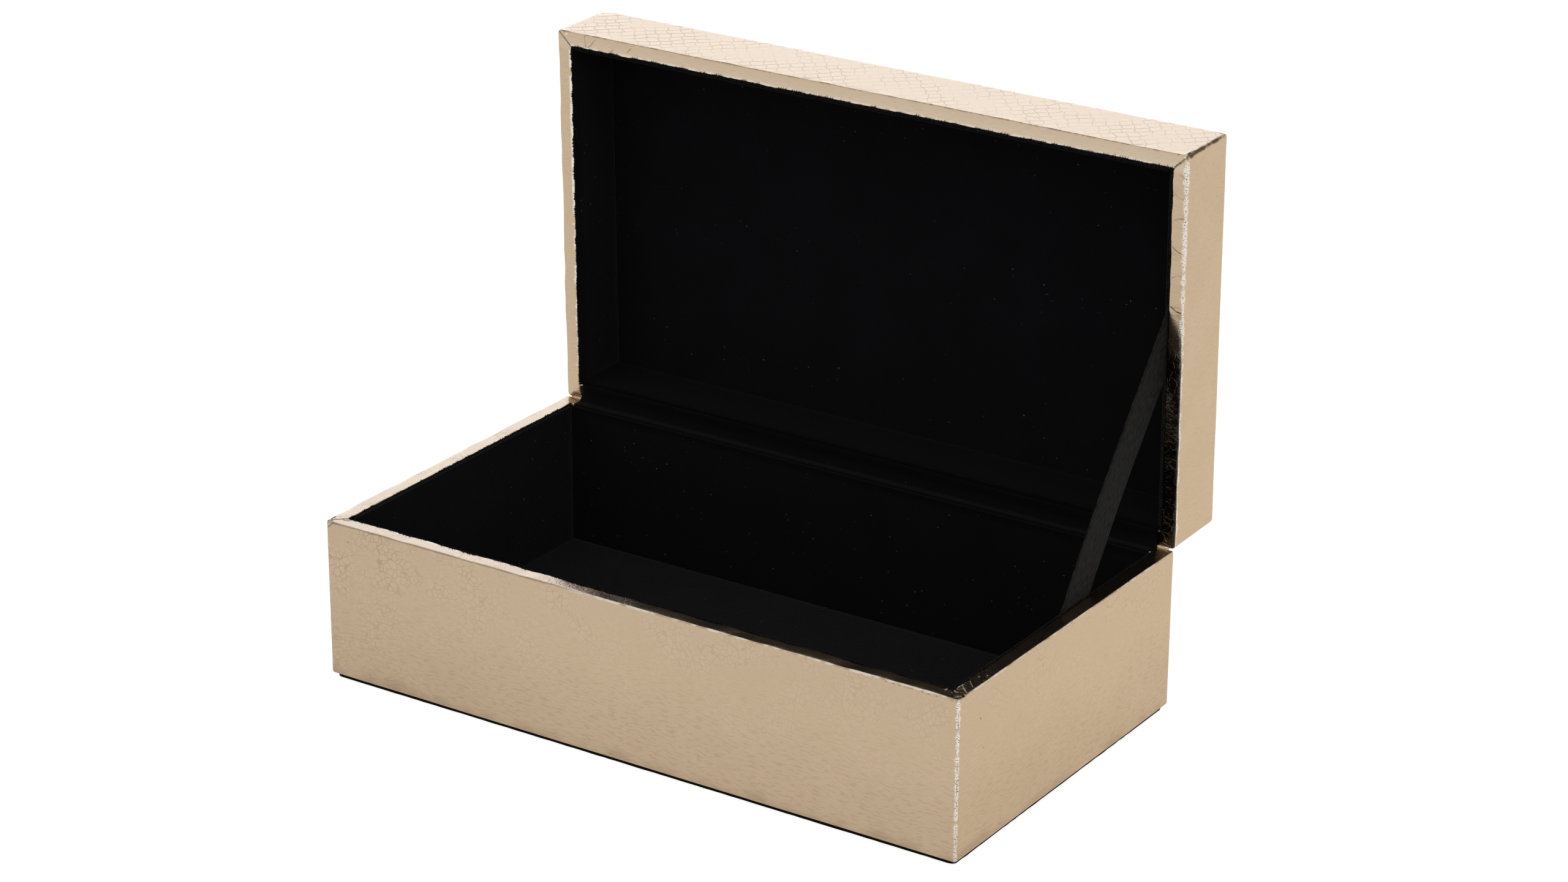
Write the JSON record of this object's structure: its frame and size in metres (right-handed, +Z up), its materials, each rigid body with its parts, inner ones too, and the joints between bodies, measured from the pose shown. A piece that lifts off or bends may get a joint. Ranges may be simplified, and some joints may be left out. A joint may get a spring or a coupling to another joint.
{
  "type": "storage box",
  "caption": "Rectangular hinged storage box, leatherette covered and velvet lined, its shallow lid standing open on a fabric hinge and held by a side ribbon.",
  "frame": {"origin": "centre of the base's resting face, the underside of the felt, on the surface the box stands on", "axes": "+X along the length to the right as seen from the open front, +Y to the hinge at the back, +Z up"},
  "size_m": [0.3, 0.1995, 0.2371],
  "materials": {
    "leatherette": "champagne gold foil, snakeskin embossed, satin",
    "velvet": "black short pile velvet on card",
    "felt": "black pressed felt",
    "ribbon": "black woven ribbon",
    "fibreboard": "raw medium density fibreboard"
  },
  "bodies": {
    "base": {"base_cover": "leatherette", "base_front_board": "fibreboard", "base_rear_board": "fibreboard", "base_left_board": "fibreboard", "base_right_board": "fibreboard", "base_bottom_board": "fibreboard", "base_front_lining": "velvet", "base_rear_lining": "velvet", "base_left_lining": "velvet", "base_right_lining": "velvet", "base_floor_lining": "velvet", "base_felt": "felt", "outer_hinge_strip": "leatherette", "inner_hinge_strip": "velvet", "lid_stay_ribbon": "ribbon"},
    "lid": {"lid_cover": "leatherette", "lid_front_board": "fibreboard", "lid_rear_board": "fibreboard", "lid_left_board": "fibreboard", "lid_right_board": "fibreboard", "lid_top_board": "fibreboard", "lid_front_lining": "velvet", "lid_rear_lining": "velvet", "lid_left_lining": "velvet", "lid_right_lining": "velvet", "lid_top_lining": "velvet"}
  },
  "joints": [
    {"name": "lid_hinge", "type": "hinge", "parent": "base", "child": "lid", "pos_m": [0, 0.08325, 0.07], "axis": [-1, 0, 0], "range_deg": [-88.9, 0], "deforming": ["outer_hinge_strip", "inner_hinge_strip", "lid_stay_ribbon"]}
  ]
}
